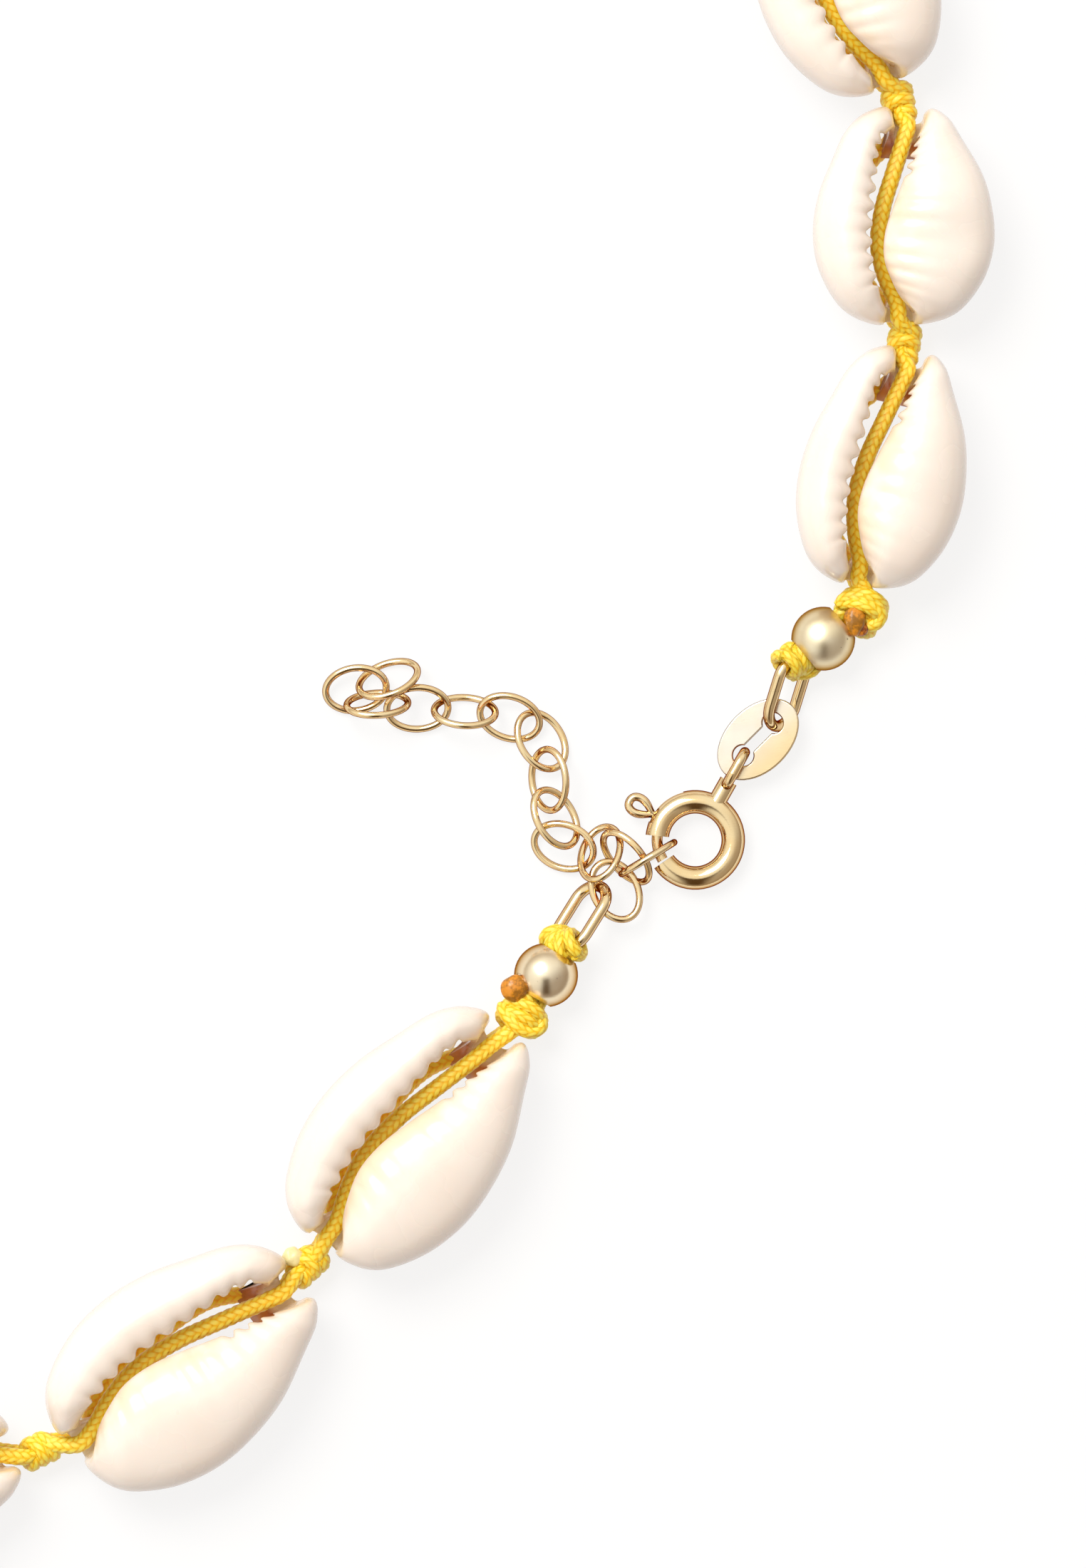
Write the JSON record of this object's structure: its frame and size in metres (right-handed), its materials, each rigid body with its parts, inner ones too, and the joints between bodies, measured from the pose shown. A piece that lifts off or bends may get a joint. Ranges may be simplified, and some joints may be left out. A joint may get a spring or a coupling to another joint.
{
  "type": "cowrie shell necklace",
  "caption": "Necklace of sliced cowrie shells knotted on yellow cord, closed by a gold spring ring on an extension chain.",
  "frame": {"origin": "centre of the closed loop's outline, on the surface that it lies on", "axes": "+X to the right and +Y up as the necklace is seen from above with the clasp at the lower right, +Z up from the surface"},
  "size_m": [0.1495, 0.1331, 0.0069],
  "materials": {
    "shell": "glossy natural shell, warm white with a pinkish tint, orange-brown inside",
    "cord": "braided golden yellow cord, tied in knots, burnt brown at its cut ends",
    "gold_metal": "polished, pale yellow gold plating",
    "bead_metal": "polished, a little paler and scratched"
  },
  "bodies": {
    "necklace": {"shell_01": "shell", "shell_02": "shell", "shell_03": "shell", "shell_04": "shell", "shell_05": "shell", "shell_06": "shell", "shell_07": "shell", "shell_08": "shell", "shell_09": "shell", "shell_10": "shell", "shell_11": "shell", "shell_12": "shell", "shell_13": "shell", "shell_14": "shell", "shell_15": "shell", "shell_16": "shell", "shell_17": "shell", "shell_18": "shell", "shell_19": "shell", "shell_20": "shell", "shell_21": "shell", "link_01": "gold_metal", "link_02": "gold_metal", "link_03": "gold_metal", "link_04": "gold_metal", "link_05": "gold_metal", "link_06": "gold_metal", "link_07": "gold_metal", "link_08": "gold_metal", "link_09": "gold_metal", "link_10": "gold_metal", "link_11": "gold_metal", "link_12": "gold_metal", "link_13": "gold_metal", "link_14": "gold_metal", "oblong_ring_a": "gold_metal", "oblong_ring_b": "gold_metal", "tag": "gold_metal", "clasp_body": "gold_metal", "front_cord": "cord", "back_cord": "cord", "knots": "cord", "cord_loop_a": "cord", "cord_loop_b": "cord", "end_knot_a": "cord", "end_knot_b": "cord", "bead_a": "bead_metal", "bead_b": "bead_metal"},
    "gate": {"clasp_gate": "gold_metal"}
  },
  "joints": [
    {"name": "gate_slide", "type": "hinge", "parent": "necklace", "child": "gate", "pos_m": [0.05645, -0.02006, 0.00095], "axis": [0, 0, -1], "range_deg": [0, 38], "stiffness_Nm_per_rad": 0.0001, "springref_deg": -20.05}
  ]
}
